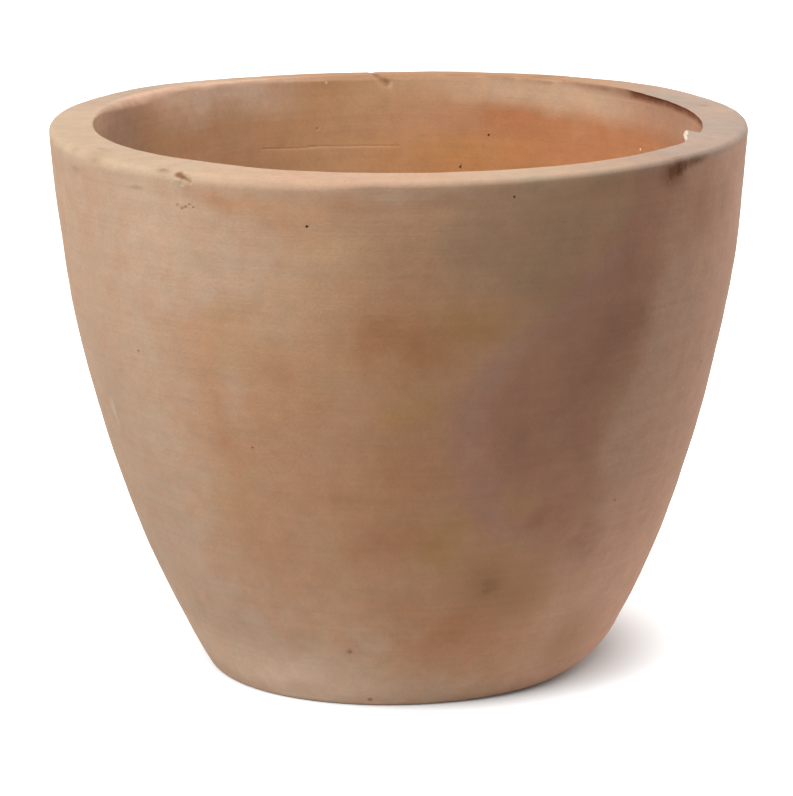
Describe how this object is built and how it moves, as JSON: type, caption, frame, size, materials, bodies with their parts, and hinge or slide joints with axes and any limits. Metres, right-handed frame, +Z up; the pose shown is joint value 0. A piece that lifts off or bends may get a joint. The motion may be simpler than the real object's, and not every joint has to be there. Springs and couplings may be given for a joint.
{
  "type": "egg planter",
  "caption": "Open terracotta floor planter shaped like a cut-off egg, with a thick flat rim, a narrower flat base and a central drain hole.",
  "frame": {"origin": "middle of the flat base, on the surface that the planter stands on", "axes": "+Z up along the axis of the pot, through the middle of the mouth; -Y is the side that faces the picture's camera and +X is to its right"},
  "size_m": [0.45, 0.4499, 0.355],
  "materials": {
    "terracotta": "matte"
  },
  "bodies": {
    "root": {"clay_pot": "terracotta"}
  },
  "joints": []
}
